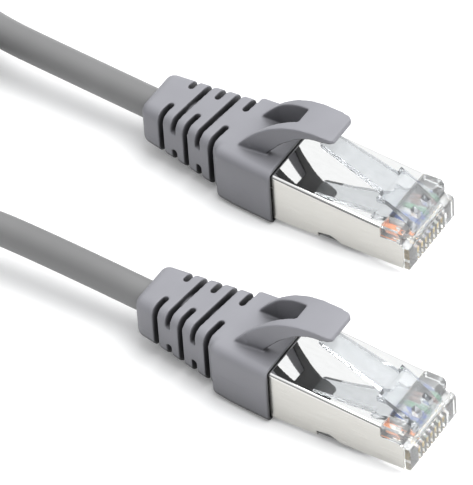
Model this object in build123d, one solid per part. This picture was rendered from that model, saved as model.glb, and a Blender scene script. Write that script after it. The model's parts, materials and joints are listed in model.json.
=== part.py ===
"""Shielded ethernet patch cable: two identical 8P8C plug ends with snagless boots, joined by one cable.

Each end is drawn once in its own plug frame and placed twice. In the plug frame the nose of the plug
is at x = 0 and points along +X, y = 0 is the middle of the plug, z = 0 is the underside of its shield,
and the latch is on top. Millimetres throughout.
"""

from build123d import *
import math
import os

os.makedirs("parts", exist_ok=True)

# ---- where the two ends stand ------------------------------------------------------------------
BOOT_UNDER = 0.45            # the boot's underside is this far below the shield's
BOOT_REAR_X = -43.4          # rear face of the boot, in the plug frame
CABLE_REAR_X = -43.75        # rearmost point of the piece of cable inside the boot
END_STEP = (18.7, -31.6)     # end b stands this far from end a, along X and Y
END_A = (-(CABLE_REAR_X + END_STEP[0]) / 2, -END_STEP[1] / 2)
ENDS = {"a": END_A, "b": (END_A[0] + END_STEP[0], END_A[1] + END_STEP[1])}

# ---- cable -------------------------------------------------------------------------------------
CABLE_D = 4.45               # outside diameter of the jacket
LEAN_Y = 0.05                # the boot and cable lean sideways by this much for each mm behind the plug
LEAN_Z = 0.045               # and rise by this much
AXIS_START = (-21.0, 0.0, 4.15)   # where the leaning axis leaves the plug
EXIT_X = BOOT_REAR_X - 0.2   # the free cable starts here

# ---- plug --------------------------------------------------------------------------------------
SHEET = 0.25                 # thickness of the shield's sheet
SHIELD_HALF_W = 5.87
SHIELD_REAR_X = -22.8
SHIELD_FRONT_X = -1.05       # front edge of the side plates
TOP_FRONT_X = -4.4           # front edge of the top plate
TOP_FRONT_Z = 6.4
TOP_REAR_X = -21.0
TOP_REAR_Z = 8.0
SIDE_STEP_Z = 4.54           # the side plates are this high in front of the top plate
GAP = 0.05                   # running gap between fixed pieces
PIN_PITCH = 1.02
PIN_COUNT = 8
WIRE_D = 0.96
CORE_D = 0.50
WIRE_Z = 3.3                 # height of the flat row of wires
ROW_STEP = 0.55              # the wires step up and down by this much behind the load bar
NOSE_HALF_W = 5.82
NOSE_TOP_Z = 4.14
BODY_HALF_W = SHIELD_HALF_W - SHEET - GAP
LATCH_HALF_W = 2.95

# ---- hinges ------------------------------------------------------------------------------------
HOOD_HINGE = (-24.6, 10.3)   # x and z of the axis that the hood bends about
HOOD_BARREL_R = 1.3
LATCH_HINGE = (-1.0, 4.9)
LATCH_BARREL_R = 0.55
HINGE_GAP = 0.08


def axis_at(x):
    """Point of the leaning boot and cable axis at a distance x along the plug."""
    back = AXIS_START[0] - x
    return Vector(x, AXIS_START[1] + LEAN_Y * back, AXIS_START[2] + LEAN_Z * back)


def round_bar(x_front, x_rear, radius):
    """Round bar along the leaning axis."""
    front, rear = axis_at(x_front), axis_at(x_rear)
    run = rear - front
    return Plane(origin=front, z_dir=run) * Cylinder(
        radius, run.length, align=(Align.CENTER, Align.CENTER, Align.MIN)
    )


def side_profile(points):
    """Flat face in the XZ plane from a list of (x, z) corners."""
    corners = [Vector(x, 0, z) for x, z in points]
    return make_face(Polyline(*corners, close=True))


def slab(face, half_width):
    """The face in the XZ plane thickened to both sides of y = 0."""
    return extrude(face, half_width, dir=(0, 1, 0), both=True)


def block(x0, x1, y0, y1, z0, z1):
    """Box between two corners."""
    return Pos((x0 + x1) / 2, (y0 + y1) / 2, (z0 + z1) / 2) * Box(x1 - x0, y1 - y0, z1 - z0)


def plan_cut(points, z0, z1):
    """Solid with the given outline of (x, y) corners seen from above."""
    outline = make_face(Polyline(*[Vector(x, y, z0) for x, y in points], close=True))
    return extrude(outline, z1 - z0, dir=(0, 0, 1))


def cross_bar(x, z, radius, half_width):
    """Round bar across the plug, along Y."""
    return Pos(x, 0, z) * Rot(90, 0, 0) * Cylinder(radius, 2 * half_width)


def pin_y(i):
    """Middle of contact i, counted from the near side (-Y), where contact 1 is."""
    return (i - (PIN_COUNT - 1) / 2) * PIN_PITCH


# ---- shield ------------------------------------------------------------------------------------
BARREL_REAR_X = -28.4
BARREL_R = 2.95
BRAID_FRONT_X = -22.2
RELIEF_REAR_X = -14.1        # the bottom flaps end here, at a relief notch in each side plate


def make_shield():
    """Folded sheet shell: top plate, side plates, bottom flaps, rear wall and crimp barrel."""
    corner = 0.75
    outline = side_profile([
        (SHIELD_REAR_X, 0),
        (SHIELD_FRONT_X, 0),
        (SHIELD_FRONT_X + 0.1, SIDE_STEP_Z - corner),
        (SHIELD_FRONT_X - 0.15, SIDE_STEP_Z - 0.25),
        (SHIELD_FRONT_X - corner, SIDE_STEP_Z),
        (TOP_FRONT_X, SIDE_STEP_Z),
        (TOP_FRONT_X, TOP_FRONT_Z),
        (TOP_REAR_X, TOP_REAR_Z),
        (SHIELD_REAR_X, TOP_REAR_Z),
    ])
    shell = slab(outline, SHIELD_HALF_W)
    long_edges = shell.edges().filter_by(
        lambda e: abs(abs(e.center().Y) - SHIELD_HALF_W) < 0.01
        and e.length > 15
    )
    shell = fillet(long_edges, 0.45)
    inside = slab(side_profile([
        (SHIELD_REAR_X + SHEET, SHEET),
        (1, SHEET),
        (1, TOP_FRONT_Z - SHEET),
        (TOP_FRONT_X, TOP_FRONT_Z - SHEET),
        (TOP_REAR_X, TOP_REAR_Z - SHEET),
        (SHIELD_REAR_X + SHEET, TOP_REAR_Z - SHEET),
    ]), SHIELD_HALF_W - SHEET)
    shell -= inside
    # no bottom flap under the contacts, and a small relief notch where the flaps end
    shell -= block(RELIEF_REAR_X, 1, -SHIELD_HALF_W + SHEET, SHIELD_HALF_W - SHEET, -1, SHEET + 0.01)
    shell -= slab(side_profile([
        (RELIEF_REAR_X, -1), (RELIEF_REAR_X, 0.95), (-13.3, 1.05), (-12.2, 1.2),
        (-11.1, 0.75), (-10.1, 0.12), (-9.9, -1),
    ]), SHIELD_HALF_W + 1)
    # seam between the two bottom flaps
    shell -= block(SHIELD_REAR_X - 1, RELIEF_REAR_X + 1, -0.06, 0.06, -1, SHEET + 0.01)
    # crimp barrel over the folded-back braid
    barrel = round_bar(SHIELD_REAR_X + SHEET, BARREL_REAR_X, BARREL_R)
    hole = round_bar(SHIELD_REAR_X + SHEET + 1, BARREL_REAR_X - 1, BARREL_R - SHEET)
    return shell + barrel - hole


# ---- plug housing, load bar, contacts and wires ---------------------------------------------------
WIRE_FRONT_X = -1.0
ROW_REAR_X = -9.6
STEP_REAR_X = -11.6
JACKET_FRONT_X = -20.6
WIRE_REAR_X = JACKET_FRONT_X + 0.2
LOAD_BAR_X = (-9.3, -5.2)
PRONGS = [(-2.9, -2.3), (-1.75, -1.15)]
BLADE_T = 0.34


def make_housing():
    """Clear moulded body of the plug, with its nose, side rails, contact slots and wire chamber."""
    body = slab(side_profile([
        (-21.8, 0.35),
        (SHIELD_FRONT_X + 0.15, 0.35),
        (SHIELD_FRONT_X + 0.15, NOSE_TOP_Z),
        (-1.3, NOSE_TOP_Z),
        (-1.3, 5.6),
        (-1.75, TOP_FRONT_Z - SHEET - GAP),
        (TOP_FRONT_X, TOP_FRONT_Z - SHEET - GAP),
        (TOP_REAR_X, TOP_REAR_Z - SHEET - GAP),
        (-21.8, TOP_REAR_Z - SHEET - GAP),
    ]), BODY_HALF_W)
    nose = slab(side_profile([
        (-0.9, 0.35), (-0.15, 0.35), (0, 0.55), (0, 3.6),
        (-0.15, 3.98), (-0.5, NOSE_TOP_Z), (-0.9, NOSE_TOP_Z),
    ]), NOSE_HALF_W)
    rails = slab(side_profile([
        (TOP_FRONT_X + GAP, SIDE_STEP_Z + GAP),
        (-1.35, SIDE_STEP_Z + GAP),
        (-1.35, 5.6),
        (-1.75, TOP_FRONT_Z - 0.12),
        (TOP_FRONT_X + GAP, TOP_FRONT_Z - 0.12),
    ]), NOSE_HALF_W)
    body = body + nose + rails
    # recess that the latch folds into
    body -= block(TOP_FRONT_X, 1, -3.45, 3.45, NOSE_TOP_Z + 0.06, 9)
    # cradle of the latch's hinge
    cradle = block(-1.75, -0.2, -3.45, 3.45, NOSE_TOP_Z, LATCH_HINGE[1] - 0.3)
    body += cradle - cross_bar(*LATCH_HINGE, LATCH_BARREL_R + HINGE_GAP, 4)
    # contact slots, open below and in front, with a narrow slit for each blade's prongs
    for i in range(PIN_COUNT):
        y = pin_y(i)
        body -= block(-3.7, 1, y - 0.25, y + 0.25, -1, 2.78)
        body -= block(-3.3, -0.9, y - 0.19, y + 0.19, 2.7, 3.98)
    # wire row, load bar pocket and rear chamber
    half_row = pin_y(PIN_COUNT - 1) + WIRE_D / 2 + 0.03
    body -= block(-6, -0.95, -half_row, half_row, WIRE_Z - 0.5, WIRE_Z + 0.5)
    body -= block(-9.7, -5.0, -4.45, 4.45, 2.05, 4.6)
    chamber = side_profile([(-30, 1.3), (-9.5, 1.3), (-9.5, 5.8), (TOP_REAR_X, 6.9), (-30, 6.9)])
    return body - slab(chamber, 4.9)


def make_load_bar():
    """Comb that holds the eight wires in a flat row."""
    bar = block(*LOAD_BAR_X, -4.35, 4.35, 2.15, WIRE_Z + 0.3)
    for i in range(PIN_COUNT):
        y = pin_y(i)
        groove = Pos(sum(LOAD_BAR_X) / 2, y, WIRE_Z) * Rot(0, 90, 0) * Cylinder(WIRE_D / 2 + 0.01, 10)
        bar -= groove
        bar -= block(-12, -2, y - 0.46, y + 0.46, WIRE_Z, WIRE_Z + 2)
    return bar


def make_contact(i):
    """Gold-plated blade with two prongs that pierce wire i."""
    blade = side_profile([
        (-3.25, 1.0), (-2.9, 0.75), (-0.75, 0.75), (-0.5, 1.05), (-0.5, 2.7), (-3.25, 2.7),
    ])
    contact = extrude(blade, BLADE_T / 2, dir=(0, 1, 0), both=True)
    for x0, x1 in PRONGS:
        contact += extrude(
            side_profile([(x0, 2.6), (x1, 2.6), (x1, 3.6), ((x0 + x1) / 2, 3.9), (x0, 3.6)]),
            BLADE_T / 2, dir=(0, 1, 0), both=True,
        )
    return Pos(0, pin_y(i), 0) * contact


def wire_path(i):
    """Route of wire i: flat row, a step up or down, then in towards the jacket."""
    side = 1 if i % 2 else -1
    end = axis_at(WIRE_REAR_X)
    y_end = end.Y + (i // 2 - 1.5) * 1.07
    return FilletPolyline(
        Vector(WIRE_FRONT_X, pin_y(i), WIRE_Z),
        Vector(ROW_REAR_X, pin_y(i), WIRE_Z),
        Vector(STEP_REAR_X, pin_y(i), WIRE_Z + 0.3 + side * ROW_STEP),
        Vector(WIRE_REAR_X, y_end, end.Z + side * ROW_STEP),
        radius=1.5,
    )


def make_wire(i):
    """Insulation of wire i, with its core's bore, and the core."""
    path = wire_path(i)
    start = Plane(origin=path @ 0, z_dir=path % 0)
    coat = sweep(start * Circle(WIRE_D / 2), path=path)
    core = sweep(start * Circle(CORE_D / 2), path=path)
    blade = make_contact(i)
    return coat - core - blade, core - blade


def make_jacket_end():
    """The cable's jacket where it runs through the boot and into the plug."""
    return round_bar(JACKET_FRONT_X, EXIT_X, CABLE_D / 2)


def make_braid():
    """The cable's braid, folded back over the jacket under the crimp barrel."""
    sleeve = round_bar(BRAID_FRONT_X, BARREL_REAR_X + 0.2, BARREL_R - SHEET - GAP)
    return sleeve - round_bar(SHIELD_REAR_X + 2, BARREL_REAR_X - 1, CABLE_D / 2 + 0.02)


# ---- latch ---------------------------------------------------------------------------------------
def make_latch():
    """Clear release lever: a wide catch in front and a narrower tail that rises under the hood."""
    hx, hz = LATCH_HINGE
    wide = slab(side_profile([
        (hx - 0.5, hz - 0.2), (hx + 0.5, hz - 0.2), (-0.3, 5.7), (-0.75, 6.33), (-5.3, 8.6),
        (-6.1, 9.1), (-6.1, 8.1), (-4.4, 7.3), (-2.2, 5.75),
    ]), LATCH_HALF_W)
    barrel = cross_bar(hx, hz, LATCH_BARREL_R, LATCH_HALF_W)
    tail = slab(side_profile([
        (-5.6, 8.5), (-6.1, 9.1), (-9.5, 10.36), (-15.4, 12.61), (-15.8, 12.6),
        (-15.85, 12.25), (-15.5, 11.9), (-9.5, 9.4), (-6.1, 8.05),
    ]), 2.2)
    tail &= plan_cut([(-5, -2.02), (-5, 2.02), (-16, 1.45), (-16, -1.45)], 0, 20)
    latch = wide + barrel + tail
    # the shoulders stand out a little at both sides, where the latch catches in the jack
    for side in (-1, 1):
        latch += block(-6.4, -5.2, *sorted((side * 2.9, side * 3.1)), 7.7, 8.5)
    # two small square windows at the root
    for side in (-1, 1):
        latch -= block(-2.1, -1.1, side * 1.3 - 0.45, side * 1.3 + 0.45, 5.65, 9)
    return latch


# ---- boot and hood ---------------------------------------------------------------------------------
# stations along the boot: x, half width, underside height and top height
SLEEVE_FLAT = [(-21.0, 6.65, -0.55, 8.75), (-27.0, 6.42, -0.55, 8.80)]
SLEEVE_REAR = [(-27.0, 6.42, -0.55, 8.80), (-30.2, 6.20, -0.30, 8.75)]
RELIEF = [
    (-28.0, 5.50, 0.10, 8.75), (-31.8, 5.28, 0.37, 8.88), (-36.0, 4.78, 0.83, 8.83),
    (-40.0, 4.38, 1.30, 8.70), (BOOT_REAR_X, 4.10, 1.76, 8.56),
]
SLOT_X = [-30.5, -32.8, -35.0, -37.1, -39.3]
SLOT_SKEW = 0.12             # the slots run forward by this much for each mm towards +Y
SLOT_W = 0.85
SLOT_FLOOR_R = 2.95          # the slots stop at this radius round the cable
TOP_BRIDGE = (0.3, 1.75)     # middle and half length of the bridge left on top and below
SIDE_BRIDGE = (0.0, 1.4)     # the same at the sides
CORNER = 1.25


def boot_loft(stations, corner):
    """Rounded rectangular body lofted through the stations."""
    outlines = []
    for x, half_w, low, high in stations:
        middle = Vector(x, axis_at(x).Y, (low + high) / 2)
        outlines.append(
            Plane(origin=middle, x_dir=(0, 1, 0), z_dir=(-1, 0, 0))
            * RectangleRounded(2 * half_w, high - low, corner)
        )
    return loft(outlines, ruled=len(stations) < 3)


def slot_cut(x, on_top):
    """One strain-relief slot: a thin ring broken by two bridges with round ends."""
    centre = axis_at(x)
    here = Plane(origin=centre, x_dir=(SLOT_SKEW, 1, 0), z_dir=(1, -SLOT_SKEW, 0))
    ring = here * Box(20, 20, SLOT_W)
    ring -= here * Cylinder(SLOT_FLOOR_R, 2)
    middle, half = SIDE_BRIDGE if on_top else TOP_BRIDGE
    # the bridge is a flat bar whose edges are hollowed by half the slot's width
    across = (20, 2 * half + SLOT_W, 2) if on_top else (2 * half + SLOT_W, 20, 2)
    offset = (0, middle, 0) if on_top else (middle, 0, 0)
    bar = Pos(*offset) * Box(*across)
    for side in (-1, 1):
        edge = middle + side * (half + SLOT_W / 2)
        if on_top:
            bar -= Pos(0, edge, 0) * Rot(0, 90, 0) * Cylinder(SLOT_W / 2, 30)
        else:
            bar -= Pos(edge, 0, 0) * Rot(90, 0, 0) * Cylinder(SLOT_W / 2, 30)
    return ring - here * bar


def hood_top(x):
    """Height of the hood's upper face above the boot's underside plane, in the plug frame."""
    t = (x + 18) / 6
    return 15.278 + 0.767 * t - 1.517 * t * t + 0.327 * t ** 3


HOOD_FRONT_X = -13.0
HOOD_ROOT_X = -27.3
PAD_FRONT_X = -25.6


def hood_top_points(x_from, x_to, count):
    """Evenly spaced points of the hood's upper face."""
    return [
        Vector(x, 0, hood_top(x))
        for x in (x_from + (x_to - x_from) * k / (count - 1) for k in range(count))
    ]


def make_pads():
    """The hood's two roots on the boot, hollowed for its hinge barrels."""
    hx, hz = HOOD_HINGE
    upper = Spline(Vector(HOOD_ROOT_X, 0, 8.3), *hood_top_points(-26.6, PAD_FRONT_X, 3))
    rest = Polyline(upper @ 1, Vector(PAD_FRONT_X, 0, 7.9), Vector(HOOD_ROOT_X, 0, 7.9), upper @ 0)
    pads = slab(make_face([upper, rest]), 3.5)
    pads -= cross_bar(hx, hz, HOOD_BARREL_R + HINGE_GAP, 5)
    return pads - block(-30, -20, -2.75, 2.75, 5, 20)


def make_boot():
    """Soft moulded boot: a sleeve over the plug and a slotted strain relief over the cable."""
    rear = boot_loft(SLEEVE_REAR, CORNER)
    rear = fillet(rear.faces().sort_by(Axis.X)[0].edges(), 0.9)
    relief = boot_loft(RELIEF, 1.5)
    relief = fillet(relief.faces().sort_by(Axis.X)[0].edges(), 1.4)
    boot = boot_loft(SLEEVE_FLAT, CORNER) + rear + relief
    boot -= block(-50, 5, -10, 10, -2, -BOOT_UNDER)   # the flat it stands on
    boot += make_pads()
    # pocket for the shield, room for the crimp barrel, and the cable's hole
    pocket_half_w = SHIELD_HALF_W + 0.12
    boot -= block(SHIELD_REAR_X - 0.1, -19, -pocket_half_w, pocket_half_w, -0.1, TOP_REAR_Z + 0.1)
    boot -= round_bar(SHIELD_REAR_X + 1, BARREL_REAR_X - 0.3, BARREL_R + 0.1)
    boot -= round_bar(SHIELD_REAR_X, BOOT_REAR_X - 3, CABLE_D / 2 + 0.04)
    for k, x in enumerate(SLOT_X):
        boot -= slot_cut(x, on_top=k % 2 == 1)
    return boot


def make_hood():
    """Snagless hood: two arms that rise from the boot and join in one broad tab over the latch."""
    hx, hz = HOOD_HINGE
    touch = Vector(-25.5, 0, hood_top(-25.5))
    upper = Spline(touch, *hood_top_points(-24.5, HOOD_FRONT_X - 0.3, 7))
    under = Spline(
        Vector(HOOD_FRONT_X, 0, 14.42), Vector(-16.3, 0, 14.2), Vector(-18.3, 0, 13.45),
        Vector(-20.6, 0, 11.8), Vector(-22.6, 0, 9.75),
    )
    front = Polyline(upper @ 1, Vector(HOOD_FRONT_X, 0, 14.95), under @ 0)
    back = Polyline(under @ 1, Vector(hx + 0.35, 0, hz - 1.25), Vector(hx, 0, hz), upper @ 0)
    hood = slab(make_face([upper, front, under, back]), 4)
    hood += cross_bar(hx, hz, HOOD_BARREL_R, 4)
    hood &= plan_cut([(-28, -3.55), (HOOD_FRONT_X, -2.72), (HOOD_FRONT_X, 2.72), (-28, 3.55)], 5, 20)
    hood -= plan_cut([
        (-19.1, -1.35), (-24.6, -2.78), (-29, -2.78), (-29, 2.78), (-24.6, 2.78), (-19.1, 1.35),
    ], 5, 20)
    return hood


# ---- the free cable: two leads and a coil ---------------------------------------------------------
COIL_CENTRE = (-100.5 + END_A[0], -16.8 + END_A[1])
COIL_R = 31.2                # outer turns
COIL_UNDER = 0.6             # the coil lies on its tie
TURN_STEP = 4.475            # from one turn to the next, beside it or on it
INNER_FROM, INNER_TO = 70, 290    # the innermost bottom turn covers these angles, counted from +X
LEAD_A = [(-58.0, 1.85, 5.815), (-71.5, 2.9, 6.1), (-83.0, 8.6, 4.2), (-94.8, 13.9, 2.4)]
LEAD_B = [(-58.5, 1.875, 5.8375), (-73.5, 1.9, 6.5), (-92.0, -7.4, 7.1), (-112.3, -16.0, 6.85)]


def lead_route(end, points):
    """Corners of a lead's route in the part's frame: the boot's exit, then the given points."""
    x0, y0 = ENDS[end]
    exit_point = axis_at(EXIT_X)
    corners = [(exit_point.X, exit_point.Y, exit_point.Z)] + points
    return [Vector(x0 + x, y0 + y, BOOT_UNDER + z) for x, y, z in corners]


def lead_tube(name, corners):
    """Tube along straight runs joined by the largest tangent arcs that fit."""
    runs = [b - a for a, b in zip(corners, corners[1:])]
    radii = []
    for before, after in zip(runs, runs[1:]):
        half_turn = math.radians(before.get_angle(after)) / 2
        radii.append(0.45 * min(before.length, after.length) / math.tan(half_turn))
    print(name, "radii", [round(r, 1) for r in radii], "runs", [round(r.length, 1) for r in runs])
    path = FilletPolyline(*corners, radius=radii)
    tube = sweep(Plane(origin=path @ 0, z_dir=path % 0) * Circle(CABLE_D / 2), path=path)
    expected = math.pi * CABLE_D ** 2 / 4 * path.length
    print(name, "length", round(path.length, 1), "volume ratio", round(tube.volume / expected, 4))
    return tube


def coil_section(turns_wide, turns_high, radius):
    """Rounded section of some turns of the coil; radius is the outermost turn's."""
    width = (turns_wide - 1) * TURN_STEP + CABLE_D
    height = (turns_high - 1) * TURN_STEP + CABLE_D
    middle = COIL_CENTRE[0] + radius - (turns_wide - 1) * TURN_STEP / 2
    plane = Plane(
        origin=(middle, COIL_CENTRE[1], COIL_UNDER + height / 2), x_dir=(1, 0, 0), z_dir=(0, -1, 0)
    )
    return plane * RectangleRounded(width, height, 2.0)


def make_coil():
    """Outer shape of the coil: two turns on two more all the way round, and a fifth inside them."""
    spin = Axis((COIL_CENTRE[0], COIL_CENTRE[1], 0), (0, 0, 1))
    ring = revolve(coil_section(2, 2, COIL_R), spin, 360)
    inner = revolve(coil_section(2, 1, COIL_R - TURN_STEP), spin, INNER_TO - INNER_FROM)
    return ring + inner.rotate(spin, INNER_FROM)


def make_tie():
    """Strap round the coil on the side away from the plugs."""
    room_out, room_in, strap, slope_in = 0.1, 0.7, 0.5, 2.6
    outer_x = COIL_CENTRE[0] - COIL_R - CABLE_D / 2 - room_out
    inner_x = COIL_CENTRE[0] - COIL_R + 2 * TURN_STEP + CABLE_D / 2 + room_in
    low_z = COIL_UNDER - 0.05
    high_z = COIL_UNDER + TURN_STEP + CABLE_D + 0.05
    corners = [
        (outer_x, low_z), (inner_x, low_z), (inner_x, low_z + CABLE_D + 0.1),
        (inner_x - slope_in, high_z), (outer_x, high_z),
    ]
    hole = fillet(side_profile(corners).vertices(), 0.9)
    band = offset(hole, strap) - hole
    return Pos(0, COIL_CENTRE[1], 0) * extrude(band, 4, dir=(0, 1, 0), both=True)


# ---- write every piece ----------------------------------------------------------------------------
WIRE_NAMES = [
    "wire_white_orange", "wire_orange", "wire_white_green", "wire_blue",
    "wire_white_blue", "wire_green", "wire_white_brown", "wire_brown",
]


def end_pieces():
    """Every piece of one plug end, in the plug frame."""
    wires = [make_wire(i) for i in range(PIN_COUNT)]
    pieces = {
        "boot": make_boot(),
        "hood": make_hood(),
        "shield": make_shield(),
        "housing": make_housing(),
        "latch": make_latch(),
        "load_bar": make_load_bar(),
        "contacts": Compound([make_contact(i) for i in range(PIN_COUNT)]),
        "cores": Compound([solid for _, core in wires for solid in core.solids()]),
        "jacket_end": make_jacket_end(),
        "braid": make_braid(),
    }
    for name, (coat, _) in zip(WIRE_NAMES, wires):
        pieces[name] = coat
    return pieces


def write(name, shape):
    """One STEP file for one named piece."""
    shape.label = name
    export_step(shape, f"parts/{name}.step")


PIECES = end_pieces()
for end_name, (end_x, end_y) in ENDS.items():
    for piece_name, piece in PIECES.items():
        write(f"{piece_name}_{end_name}", Pos(end_x, end_y, BOOT_UNDER) * piece)

write("cable_lead_a", lead_tube("lead a", lead_route("a", LEAD_A)))
write("cable_lead_b", lead_tube("lead b", lead_route("b", LEAD_B)))
write("cable_coil", make_coil())
write("coil_tie", make_tie())
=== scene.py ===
"""Looks of a shielded ethernet patch cable: two plug ends with snagless boots, and the cable between them.

Each end is drawn in its own plug frame, in millimetres: the nose is at x = 0 and points along +X,
y = 0 is the middle of the plug, z = 0 is the underside of its shield, and the latch is on top.
"""

import json
import math

import bmesh
import bpy
from mathutils import Matrix, Vector


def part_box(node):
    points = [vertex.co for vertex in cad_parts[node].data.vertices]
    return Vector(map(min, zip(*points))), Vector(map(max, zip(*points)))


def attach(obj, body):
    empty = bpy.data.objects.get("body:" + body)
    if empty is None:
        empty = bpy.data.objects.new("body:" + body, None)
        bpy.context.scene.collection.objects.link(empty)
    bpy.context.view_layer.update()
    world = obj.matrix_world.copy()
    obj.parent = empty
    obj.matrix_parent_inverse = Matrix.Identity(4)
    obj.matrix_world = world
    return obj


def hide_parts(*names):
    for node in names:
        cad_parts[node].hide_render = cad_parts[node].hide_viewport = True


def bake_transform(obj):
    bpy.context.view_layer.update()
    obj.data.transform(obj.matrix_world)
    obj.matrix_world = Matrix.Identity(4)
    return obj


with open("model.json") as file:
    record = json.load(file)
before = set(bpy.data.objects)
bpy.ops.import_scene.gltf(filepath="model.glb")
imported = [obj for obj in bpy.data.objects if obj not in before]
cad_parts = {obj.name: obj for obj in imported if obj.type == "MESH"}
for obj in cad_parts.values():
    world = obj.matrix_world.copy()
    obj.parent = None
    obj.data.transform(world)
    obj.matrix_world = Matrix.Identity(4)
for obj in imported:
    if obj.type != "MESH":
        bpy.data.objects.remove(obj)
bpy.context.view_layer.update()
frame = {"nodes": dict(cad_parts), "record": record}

MM = 0.001
END_NAMES = ("a", "b")


def plug_origin(end):
    """Origin of an end's plug frame: its nose, the middle of its width, the underside of its shield."""
    low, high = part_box(f"housing_{end}")
    return Vector((high.x, (low.y + high.y) / 2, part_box(f"shield_{end}")[0].z))


PLUG = {end: plug_origin(end) for end in END_NAMES}


def at(end, x, y, z):
    """A point of an end's plug frame, in the row frame."""
    return PLUG[end] + Vector((x, y, z)) * MM


# ---- camera ------------------------------------------------------------------------------------
VIEW_AZIMUTH = math.radians(34.31)
VIEW_ELEVATION = math.radians(44.20)
VIEW_ROLL = math.radians(-4.23)
VIEW_DISTANCE = 1.0
VIEW_WIDTH = 62.58 * MM      # width of what the camera sees, across the aim point
FRAME_WIDTH, FRAME_HEIGHT = 473, 485
AIM = (-22.53, -12.79, 1.06)    # aim point in end a's plug frame


def add_camera():
    """Long lens from above the near right, a little rolled."""
    flat = math.cos(VIEW_ELEVATION)
    back = Vector((math.sin(VIEW_AZIMUTH) * flat, -math.cos(VIEW_AZIMUTH) * flat, math.sin(VIEW_ELEVATION)))
    level_right = Vector((math.cos(VIEW_AZIMUTH), math.sin(VIEW_AZIMUTH), 0))
    right = Matrix.Rotation(VIEW_ROLL, 3, back) @ level_right
    up = back.cross(right)
    camera = bpy.data.objects.new("camera", bpy.data.cameras.new("camera"))
    bpy.context.scene.collection.objects.link(camera)
    turn = Matrix((right, up, back)).transposed().to_4x4()
    camera.matrix_world = Matrix.Translation(at("a", *AIM) + back * VIEW_DISTANCE) @ turn
    long_side = VIEW_WIDTH * FRAME_HEIGHT / FRAME_WIDTH
    camera.data.lens = camera.data.sensor_width * VIEW_DISTANCE / long_side
    camera.data.clip_start = 0.05
    camera.data.clip_end = 20
    bpy.context.scene.camera = camera


# ---- stage and light ---------------------------------------------------------------------------
def add_floor():
    """Plain pale floor, matte."""
    bpy.ops.mesh.primitive_plane_add(size=8, location=(0, 0, -0.02 * MM))
    floor = bpy.context.object
    floor.name = "floor"
    floor.data.materials.append(floor_material())


def add_soft_light(name, position, target, size, power):
    """Square soft box that faces a point."""
    light = bpy.data.objects.new(name, bpy.data.lights.new(name, "AREA"))
    bpy.context.scene.collection.objects.link(light)
    light.data.shape = "SQUARE"
    light.data.size = size
    light.data.energy = power
    light.location = position
    light.rotation_mode = "QUATERNION"
    light.rotation_quaternion = (Vector(target) - Vector(position)).to_track_quat("-Z", "Y")


def add_world(dim, bright, towards):
    """Studio surroundings: dim low down, bright around one direction overhead."""
    world = bpy.data.worlds.new("studio")
    world.use_nodes = True
    nodes, links = world.node_tree.nodes, world.node_tree.links
    facing = nodes.new("ShaderNodeVectorMath")
    facing.operation = "DOT_PRODUCT"
    facing.inputs[1].default_value = Vector(towards).normalized()
    links.new(nodes.new("ShaderNodeTexCoord").outputs["Generated"], facing.inputs[0])
    ramp = nodes.new("ShaderNodeValToRGB")
    ramp.color_ramp.interpolation = "EASE"
    for element, place, colour in zip(ramp.color_ramp.elements, (0.05, 0.85), (dim, bright)):
        element.position = place
        element.color = (*colour, 1)
    links.new(facing.outputs["Value"], ramp.inputs["Fac"])
    links.new(ramp.outputs["Color"], nodes["Background"].inputs["Color"])
    bpy.context.scene.world = world


# ---- materials ---------------------------------------------------------------------------------
class Shader:
    """A Principled material and the few node moves that the materials below share."""

    def __init__(self, name, **values):
        self.material = bpy.data.materials.new(name)
        self.material.use_nodes = True
        self.tree = self.material.node_tree
        self.main = self.tree.nodes["Principled BSDF"]
        self.place = self.node("ShaderNodeTexCoord").outputs["Object"]
        for key, value in values.items():
            self.set(key.replace("_", " "), value)

    def node(self, kind, **inputs):
        made = self.tree.nodes.new(kind)
        for key, value in inputs.items():
            self.feed(made.inputs[key.replace("_", " ")], value)
        return made

    def feed(self, socket, value):
        if isinstance(value, bpy.types.NodeSocket):
            self.tree.links.new(value, socket)
        else:
            socket.default_value = value

    def set(self, name, value):
        self.feed(self.main.inputs[name], value)

    def noise(self, size_mm, detail=3.0, stretch=(1, 1, 1)):
        """Noise from 0 to 1 whose grain is about size_mm across."""
        spread = self.node("ShaderNodeMapping", Vector=self.place, Scale=stretch)
        made = self.node("ShaderNodeTexNoise", Vector=spread.outputs["Vector"], Detail=detail)
        made.inputs["Scale"].default_value = 1 / (size_mm * MM)
        return made.outputs["Fac"]

    def math(self, operation, first, second=0.0, third=0.0):
        made = self.node("ShaderNodeMath")
        made.operation = operation
        for socket, value in zip(made.inputs, (first, second, third)):
            self.feed(socket, value)
        return made.outputs[0]

    def ramp(self, value, stops):
        """Colour or grey level from a value, as (place, colour) stops."""
        made = self.node("ShaderNodeValToRGB", Fac=value)
        elements = made.color_ramp.elements
        while len(elements) < len(stops):
            elements.new(0.5)
        for element, (place, colour) in zip(elements, stops):
            element.position = place
            element.color = (*colour, 1) if len(colour) == 3 else colour
        return made.outputs["Color"]

    def range(self, value, low, high):
        """A 0 to 1 value spread from low to high."""
        return self.math("MULTIPLY_ADD", value, high - low, low)

    def bump(self, height, depth_mm, strength=1.0):
        made = self.node("ShaderNodeBump", Height=height, Strength=strength)
        made.inputs["Distance"].default_value = depth_mm * MM
        self.set("Normal", made.outputs["Normal"])


def grey(level):
    return (level, level, level)


def floor_material():
    """White table lit faintly from below, so that shadows stay light."""
    made = Shader("floor_pale", Roughness=0.85)
    made.set("Base Color", made.ramp(made.noise(60), [(0.3, grey(0.90)), (0.7, grey(0.92))]))
    made.set("Specular IOR Level", 0.2)
    made.set("Emission Color", (1, 1, 1, 1))
    made.set("Emission Strength", 0.10)
    return made.material


PARTING_Z = 4.1              # height of the boot's parting line in the plug frame
PARTING_HALF_W = 0.05
CREVICE = 10                 # surfaces within this many mm of each other get painted shade


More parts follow.
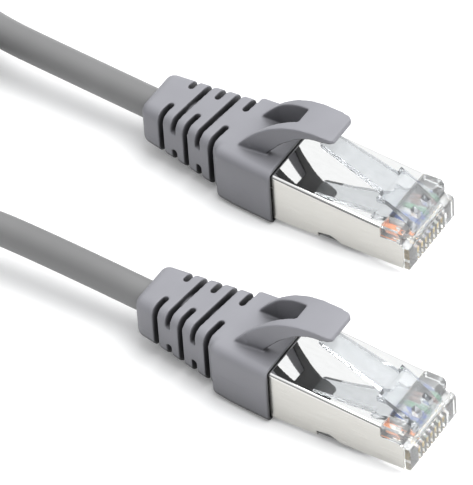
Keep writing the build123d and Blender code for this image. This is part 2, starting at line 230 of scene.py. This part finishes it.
def boot_material():
    """Soft grey moulded plastic: fine grain, flow marks, a parting line, and painted shade in slots, on the
    sides and underneath.
    """
    made = Shader("boot_soft_grey")
    blotch = made.noise(6.0, detail=2)
    grain = made.noise(0.16, detail=4)
    tone = made.math("MULTIPLY_ADD", grain, 0.25, made.math("MULTIPLY", blotch, 0.75))
    skin = made.ramp(tone, [(0.3, (0.255, 0.255, 0.277)), (0.7, (0.28, 0.28, 0.304))])
    # Painted shade in slots and gaps: darker where other surfaces lie within CREVICE mm.
    open_sky = made.node("ShaderNodeAmbientOcclusion", Distance=CREVICE * MM).outputs["AO"]
    facing = made.node("ShaderNodeSeparateXYZ", Vector=made.node("ShaderNodeNewGeometry").outputs["Normal"])
    # Painted shade by facing: sides a little darker, undersides much darker.
    tilt = made.range(facing.outputs["Z"], 0.5, 1.0)
    facing_shade = made.ramp(tilt, [(0.28, grey(0.15)), (0.46, grey(0.8)), (0.9, grey(1.0))])
    shade = made.ramp(open_sky, [(0.2, grey(0.1)), (0.5, grey(0.60)), (0.85, grey(1.0))])
    # The two painted shades, multiplied together, darken the skin colour.
    painted_shade = made.math("MULTIPLY", shade, facing_shade)
    shaded = made.node("ShaderNodeVectorMath")
    shaded.operation = "MULTIPLY"
    made.feed(shaded.inputs[0], skin)
    made.feed(shaded.inputs[1], painted_shade)
    made.set("Base Color", shaded.outputs[0])
    made.set("Roughness", made.range(grain, 0.42, 0.62))
    made.set("Specular IOR Level", 0.4)
    height = made.node("ShaderNodeSeparateXYZ", Vector=made.place).outputs["Z"]
    off_line = made.math("ABSOLUTE", made.math("SUBTRACT", height, PLUG["a"].z + PARTING_Z * MM))
    steepness = made.math("DIVIDE", off_line, PARTING_HALF_W * MM)
    ridge = made.math("SUBTRACT", 1.0, made.math("MINIMUM", steepness, 1.0))
    made.bump(made.math("ADD", grain, made.math("MULTIPLY", ridge, 2.0)), 0.02, 0.6)
    return made.material


def jacket_material():
    """Grey cable jacket with a slight sheen and faint blotches of tone."""
    made = Shader("jacket_grey")
    blotch = made.noise(9.0, detail=2)
    grain = made.noise(0.22, detail=3)
    made.set("Base Color", made.ramp(blotch, [(0.3, grey(0.185)), (0.7, grey(0.205))]))
    made.set("Roughness", made.range(grain, 0.40, 0.52))
    made.set("Specular IOR Level", 0.4)
    made.bump(grain, 0.01, 0.4)
    return made.material


def shield_material():
    """Bright nickel-plated sheet: nearly a mirror on top, brushed satin on the sides, whose colour is darker
    as painted shade.
    """
    made = Shader("shield_nickel", Metallic=1.0)
    facing = made.node("ShaderNodeSeparateXYZ", Vector=made.node("ShaderNodeNewGeometry").outputs["Normal"])
    flatness = made.math("MULTIPLY", made.math("ABSOLUTE", facing.outputs["Z"]), 1.1)
    on_top = made.math("SMOOTH_MIN", flatness, 1.0, 0.1)
    brushed = made.noise(0.5, detail=5, stretch=(0.12, 1, 3))
    satin = made.range(brushed, 0.22, 0.30)
    mirror = made.range(brushed, 0.03, 0.06)
    mix = made.node("ShaderNodeMix", Factor=on_top, A=satin, B=mirror)
    made.set("Roughness", mix.outputs["Result"])
    plate = made.ramp(brushed, [(0.3, (0.90, 0.90, 0.89)), (0.7, (0.94, 0.94, 0.93))])
    # The sides' colour is darker than the top's as painted shade, chosen by facing.
    side = made.ramp(brushed, [(0.3, (0.52, 0.51, 0.48)), (0.7, (0.57, 0.56, 0.53))])
    colour = made.node("ShaderNodeMixRGB", Fac=on_top, Color1=side, Color2=plate)
    made.set("Base Color", colour.outputs["Color"])
    made.bump(brushed, 0.001, 0.15)
    return made.material


def clear_material(name, dark, light, clarity):
    """Clear polycarbonate with faint mould haze."""
    made = Shader(name, IOR=1.33)
    haze = made.noise(1.5, detail=3)
    made.set("Base Color", made.ramp(haze, [(0.3, dark), (0.7, light)]))
    made.set("Transmission Weight", clarity)
    shadow = made.node("ShaderNodeLightPath").outputs["Is Shadow Ray"]
    made.set("Alpha", made.range(shadow, 1.0, 0.15))
    made.set("Roughness", made.range(haze, 0.015, 0.07))
    made.bump(haze, 0.006, 0.2)
    return made.material


def plain_plastic_material(name, dark, light, roughness=0.35):
    """Coloured moulded plastic with slight mottling."""
    made = Shader(name)
    mottle = made.noise(0.5, detail=3)
    made.set("Base Color", made.ramp(mottle, [(0.3, dark), (0.7, light)]))
    made.set("Roughness", made.range(mottle, roughness - 0.06, roughness + 0.06))
    made.bump(mottle, 0.008, 0.4)
    return made.material


def wire_material(name, colour, striped):
    """Glossy wire insulation: one colour, or white with bands of the colour."""
    made = Shader(name)
    mottle = made.noise(0.7, detail=3)
    dark = tuple(0.85 * c for c in colour)
    if striped:
        waves = made.node("ShaderNodeTexWave", Vector=made.place, Distortion=0.6)
        waves.bands_direction = "DIAGONAL"
        waves.inputs["Scale"].default_value = 90
        white = (0.80, 0.78, 0.74)
        made.set("Base Color", made.ramp(waves.outputs["Fac"], [(0.62, white), (0.72, colour)]))
    else:
        made.set("Base Color", made.ramp(mottle, [(0.3, dark), (0.7, colour)]))
    made.set("Roughness", made.range(mottle, 0.22, 0.34))
    made.bump(mottle, 0.006, 0.3)
    return made.material


def metal_material(name, dark, light, rough_low, rough_high, size_mm=0.3):
    """Bare or plated metal with fine wear."""
    made = Shader(name, Metallic=1.0)
    wear = made.noise(size_mm, detail=4)
    made.set("Base Color", made.ramp(wear, [(0.3, dark), (0.7, light)]))
    made.set("Roughness", made.range(wear, rough_low, rough_high))
    made.bump(wear, 0.004, 0.4)
    return made.material


def woven(made, pitch_mm, depth_mm):
    """Height of a plain weave of the given pitch."""
    heights = []
    for direction in ("X", "Y", "Z"):
        waves = made.node("ShaderNodeTexWave", Vector=made.place)
        waves.bands_direction = direction
        waves.inputs["Scale"].default_value = 0.314 / (pitch_mm * MM)
        heights.append(waves.outputs["Fac"])
    crossed = made.math("MULTIPLY", heights[0], heights[1])
    height = made.math("ADD", crossed, heights[2])
    made.bump(height, depth_mm, 0.8)
    return height


def braid_material():
    """Tinned copper braid, with painted shade in the weave's hollows."""
    made = Shader("braid_tinned", Metallic=1.0, Roughness=0.35)
    height = woven(made, 0.4, 0.08)
    # Painted shade: the colour darkens in the weave's low points.
    made.set("Base Color", made.ramp(height, [(0.2, grey(0.30)), (1.0, grey(0.72))]))
    return made.material


def strap_material():
    """Black woven hook-and-loop strap, with painted shade in the weave's hollows and random fuzz."""
    made = Shader("strap_black")
    height = woven(made, 0.55, 0.12)
    fuzz = made.noise(0.12, detail=5)
    # Painted shade in the weave's low points, mixed with random fuzz.
    shade = made.math("MULTIPLY", height, fuzz)
    made.set("Base Color", made.ramp(shade, [(0.1, grey(0.012)), (1.0, grey(0.05))]))
    made.set("Roughness", made.range(fuzz, 0.75, 0.95))
    made.set("Sheen Weight", 0.4)
    return made.material


# ---- mesh helpers ------------------------------------------------------------------------------
WELD_GAP = 0.002             # vertices closer than this, in mm, are one


def welded_copy(node_name, name):
    """Copy of a CAD node's mesh with its faces joined along their edges."""
    copy = bpy.data.objects.new(name, frame["nodes"][node_name].data.copy())
    bpy.context.scene.collection.objects.link(copy)
    weld = copy.modifiers.new("weld", "WELD")
    weld.merge_threshold = WELD_GAP * MM
    return settle(copy)


def wear_only(piece, material):
    """Gives a piece one material and no other."""
    piece.data.materials.clear()
    piece.data.materials.append(material)


def new_object(name, data, material):
    piece = bpy.data.objects.new(name, data)
    bpy.context.scene.collection.objects.link(piece)
    wear_only(piece, material)
    return piece


def settle(piece):
    """Applies a piece's modifiers."""
    graph = bpy.context.evaluated_depsgraph_get()
    mesh = bpy.data.meshes.new_from_object(piece.evaluated_get(graph))
    piece.modifiers.clear()
    piece.data = mesh
    return piece


def smooth_shade(mesh, angle_degrees=None):
    """Smooth shading, with edges sharper than the angle kept sharp."""
    mesh.polygons.foreach_set("use_smooth", [True] * len(mesh.polygons))
    if angle_degrees is not None:
        mesh.set_sharp_from_angle(angle=math.radians(angle_degrees))


def prism(name, outline, low, high, place):
    """Closed solid: an outline of (u, v) points carried from low to high; place(u, v, w) gives the point."""
    shape = bmesh.new()
    rings = [[shape.verts.new(place(u, v, w)) for u, v in outline] for w in (low, high)]
    count = len(outline)
    for k in range(count):
        n = (k + 1) % count
        shape.faces.new((rings[0][k], rings[0][n], rings[1][n], rings[1][k]))
    shape.faces.new(rings[0][::-1])
    shape.faces.new(rings[1])
    bmesh.ops.recalc_face_normals(shape, faces=shape.faces)
    mesh = bpy.data.meshes.new(name)
    shape.to_mesh(mesh)
    shape.free()
    tool = bpy.data.objects.new(name, mesh)
    bpy.context.scene.collection.objects.link(tool)
    return tool


def combine(piece, tool, operation):
    """Boolean of a piece with a tool, which is then removed."""
    cut = piece.modifiers.new("cut", "BOOLEAN")
    cut.operation = operation
    cut.object = tool
    cut.solver = "EXACT"
    settle(piece)
    bpy.data.objects.remove(tool)
    return piece


def join(name, pieces):
    """One mesh from several overlapping ones."""
    shape = bmesh.new()
    for piece in pieces:
        shape.from_mesh(piece.data)
        bpy.data.objects.remove(piece)
    mesh = bpy.data.meshes.new(name)
    shape.to_mesh(mesh)
    shape.free()
    joined = bpy.data.objects.new(name, mesh)
    bpy.context.scene.collection.objects.link(joined)
    return joined


def melt(piece, voxel_mm, passes, keep=1.0):
    """Fuses overlapping shells into one skin with softened edges, as a soft moulding has."""
    fuse = piece.modifiers.new("fuse", "REMESH")
    fuse.mode = "VOXEL"
    fuse.voxel_size = voxel_mm * MM
    soften = piece.modifiers.new("soften", "SMOOTH")
    soften.factor = 0.5
    soften.iterations = passes
    if keep < 1:
        thin = piece.modifiers.new("thin", "DECIMATE")
        thin.ratio = keep
    settle(piece)
    smooth_shade(piece.data)
    return piece


# ---- boot and hood -----------------------------------------------------------------------------
HOOD_FRONT_X = -13.0         # front edge of the hood's tab
HOOD_REAR_X = -27.7          # where the hood's arms run into the boot
BOOT_TOP_Z = 8.6
TAB_CORNER_R = 1.1
TAB_HALF_W = 2.77            # half width of the tab at its front
MELT_VOXEL = 0.13            # grain, in mm, at which boot and hood are fused
STRAP_VOXEL = 0.15           # and the straps


def hood_top(x):
    """Height of the hood's upper face in the plug frame."""
    t = (x + 18) / 6
    return 15.278 + 0.767 * t - 1.517 * t * t + 0.327 * t ** 3


def spline_value(p, q, r, s, t):
    """Value between q and r, at t from 0 to 1, of the smooth curve through p, q, r and s."""
    square = (2 * p - 5 * q + 4 * r - s) * t * t
    cube = (3 * q - p - 3 * r + s) * t ** 3
    return 0.5 * (2 * q + (r - p) * t + square + cube)


def curve_through(points, steps):
    """Smooth curve through 2-D points."""
    ends = [points[0], *points, points[-1]]
    made = []
    for a, b, c, d in zip(ends, ends[1:], ends[2:], ends[3:]):
        for k in range(steps):
            made.append(tuple(spline_value(*values, k / steps) for values in zip(a, b, c, d)))
    return made + [points[-1]]


def tab_corner(side):
    """Round front corner of the hood's tab, in plan, from its side to its front."""
    angles = [math.radians(90 - 15 * k) for k in range(7)]
    front = HOOD_FRONT_X + 0.05
    return [
        (front + TAB_CORNER_R * (math.cos(a) - 1), side * (TAB_HALF_W + TAB_CORNER_R * (math.sin(a) - 1)))
        for a in angles
    ]


def hood_solid(end):
    """The hood's two arms and tab, down to the boot's top."""
    steps = 24
    span = HOOD_FRONT_X - 0.25 - HOOD_REAR_X
    upper = [(x, hood_top(x)) for x in (HOOD_REAR_X + span * k / steps for k in range(steps + 1))]
    under = curve_through([
        (HOOD_FRONT_X, 14.42), (-16.3, 14.2), (-18.3, 13.45),
        (-20.6, 11.8), (-22.5, 9.8), (-23.4, BOOT_TOP_Z),
    ], 5)
    outline = upper + under + [(HOOD_REAR_X, BOOT_TOP_Z)]
    hood = prism("hood", outline, -4, 4, lambda x, z, y: at(end, x, y, z))
    tab = prism("hood_plan", [
        (-28, -3.55), *tab_corner(-1), *tab_corner(1)[::-1], (-28, 3.55),
    ], 5, 20, lambda x, y, z: at(end, x, y, z))
    window = prism("hood_window", [
        (-19.1, -1.35), (-24.6, -2.72), (-29, -2.72), (-29, 2.72), (-24.6, 2.72), (-19.1, 1.35),
    ], 5, 20, lambda x, y, z: at(end, x, y, z))
    combine(hood, tab, "INTERSECT")
    return combine(hood, window, "DIFFERENCE")


EDGE_WELD_GAP = 0.001        # mm
SHARP_ANGLE = 35             # edges that turn more than this, in degrees, are rounded
PLASTIC_EDGE, SHEET_EDGE = 0.09, 0.11   # widths of those rounds, in mm


def soften_edges(node, width_mm):
    """Small round on every sharp edge, as a moulding or a bent sheet has, without a change to the mesh."""
    weld = node.modifiers.new("weld", "WELD")
    weld.merge_threshold = EDGE_WELD_GAP * MM
    flat = node.modifiers.new("flat", "DECIMATE")
    flat.decimate_type = "DISSOLVE"
    flat.angle_limit = math.radians(1)
    round_off = node.modifiers.new("round", "BEVEL")
    round_off.width = width_mm * MM
    round_off.segments = 2
    round_off.limit_method = "ANGLE"
    round_off.angle_limit = math.radians(SHARP_ANGLE)
    round_off.harden_normals = True


def add_boot(end, material):
    """Boot and hood are one moulding."""
    made = join(f"boot_and_hood_{end}", [welded_copy(f"boot_{end}", "boot"), hood_solid(end)])
    made.data.materials.append(material)
    melt(made, MELT_VOXEL, 3, keep=0.35)
    wear_only(made, material)
    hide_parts(f"boot_{end}", f"hood_{end}")
    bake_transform(made)


# ---- cable -------------------------------------------------------------------------------------
CABLE_D = 4.45
LEAD_START = (-43.6, 1.13, 5.167)    # in each end's own plug frame, just inside its boot
LEAD_A = [(-58.0, 1.85, 5.815), (-71.5, 2.9, 6.1), (-83.0, 8.6, 4.2), (-94.8, 13.9, 2.4)]
LEAD_B = [(-58.5, 1.875, 5.8375), (-73.5, 1.9, 6.5), (-92.0, -7.4, 7.1), (-112.3, -16.0, 6.85)]
COIL_CENTRE = (-100.5, -16.8)    # in end a's plug frame
COIL_R = 31.2
COIL_LOW_Z = 2.375
TURN_STEP = 4.475
TURN_POINTS = 24
COIL_FROM, COIL_TO = 84, 276 + 4 * 360   # angles counted from +X, in degrees
RIGHT_HALF = (285, 435)          # where the turns change places


def ease(t):
    t = min(max(t, 0.0), 1.0)
    return t * t * (3 - 2 * t)


def coil_point(angle):
    """Point of the coil at a running angle: tracks change only on the side towards the plugs."""
    turn, part = divmod(angle - RIGHT_HALF[0], 360)
    share = part / (RIGHT_HALF[1] - RIGHT_HALF[0])
    early, late = ease(2 * share), ease(2 * share - 1)
    inward, high = coil_track(int(turn), early, late)
    radius = COIL_R - inward * TURN_STEP
    turned = math.radians(angle)
    return (
        COIL_CENTRE[0] + radius * math.cos(turned),
        COIL_CENTRE[1] + radius * math.sin(turned),
        COIL_LOW_Z + high * TURN_STEP,
    )


def coil_track(turn, early, late):
    """How many tracks inward and how many up: out to in below, over, and out again on top."""
    if turn < 0:
        return 0, 0
    if turn == 0:
        return late, 0
    if turn == 1:
        return 1 + late, 0
    if turn == 2:
        roll = early * math.pi / 2
        return 1 + math.cos(roll), math.sin(roll)
    return 1 - early, 1


def add_cable(material):
    """The whole free cable as one line: lead a, the coil, and lead b back to its boot."""
    step = 360 / TURN_POINTS
    count = round((COIL_TO - COIL_FROM) / step)
    coil = [coil_point(COIL_FROM + (COIL_TO - COIL_FROM) * k / count) for k in range(count + 1)]
    points = [at("a", *p) for p in [LEAD_START, *LEAD_A[:-1], *coil]]
    points += [at("b", *p) for p in [*LEAD_B[:-1][::-1], LEAD_START]]
    curve = bpy.data.curves.new("cable", "CURVE")
    curve.dimensions = "3D"
    line = curve.splines.new("NURBS")
    line.points.add(len(points) - 1)
    for control, point in zip(line.points, points):
        control.co = (*point, 1)
    line.order_u = 3
    line.use_endpoint_u = True
    line.resolution_u = 10
    curve.bevel_depth = CABLE_D / 2 * MM
    curve.bevel_resolution = 8
    cable = new_object("cable", curve, material)
    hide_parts("cable_lead_a", "cable_lead_b", "cable_coil")
    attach(cable, "patch_cable")
    return cable


def add_straps(material):
    """The coil's straps as one soft woven piece."""
    strap = melt(welded_copy("coil_tie", "coil_straps"), STRAP_VOXEL, 3, keep=0.5)
    wear_only(strap, material)
    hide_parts("coil_tie")
    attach(strap, "patch_cable")


# ---- build it ----------------------------------------------------------------------------------
bpy.context.scene.view_settings.view_transform = "Standard"
add_camera()
jacket = jacket_material()
cable = add_cable(jacket)
strap = strap_material()
add_straps(strap)
add_floor()
add_world((0.24, 0.24, 0.25), (1.0, 1.01, 1.02), (-0.05, 0.25, 0.95))
add_soft_light("overhead", (0.4, 0.25, 1.3), (0, 0, 0), 1.1, 18)
boot = boot_material()
shield = shield_material()
clear = clear_material("polycarbonate_clear", (0.92, 0.94, 0.945), (0.96, 0.97, 0.975), 0.9)
clear_latch = clear_material("polycarbonate_latch", (0.70, 0.72, 0.74), (0.78, 0.80, 0.82), 0.93)
SLOT_MATERIALS = {
    "boot_grey": boot,
    "cable_jacket": jacket,
    "shield_metal": shield,
    "clear_plastic": clear,
    "natural_plastic": plain_plastic_material("load_bar_natural", (0.72, 0.72, 0.69), (0.80, 0.80, 0.78)),
    "gold_contacts": metal_material("contact_gold", (0.84, 0.66, 0.36), (0.94, 0.76, 0.46), 0.12, 0.25),
    "copper_cores": metal_material("core_copper", (0.80, 0.42, 0.28), (0.92, 0.52, 0.36), 0.2, 0.35),
    "tinned_braid": braid_material(),
    "tie_strap": strap,
}
WIRE_COLOURS = {
    "orange": (0.85, 0.25, 0.04),
    "green": (0.03, 0.30, 0.08),
    "blue": (0.03, 0.12, 0.52),
    "brown": (0.20, 0.08, 0.035),
}
for colour, value in WIRE_COLOURS.items():
    SLOT_MATERIALS[colour] = wire_material(f"wire_{colour}", value, False)
    SLOT_MATERIALS[f"white_{colour}"] = wire_material(f"wire_white_{colour}", value, True)
for part in frame["record"]["subparts"]:
    node = frame["nodes"][part["node"]]
    wear_only(node, SLOT_MATERIALS[part["material_slot"]])
for end in END_NAMES:
    add_boot(end, boot)
    soften_edges(frame["nodes"][f"housing_{end}"], PLASTIC_EDGE)
    soften_edges(frame["nodes"][f"latch_{end}"], PLASTIC_EDGE)
    soften_edges(frame["nodes"][f"shield_{end}"], SHEET_EDGE)
    frame["nodes"][f"latch_{end}"].data.materials[0] = clear_latch
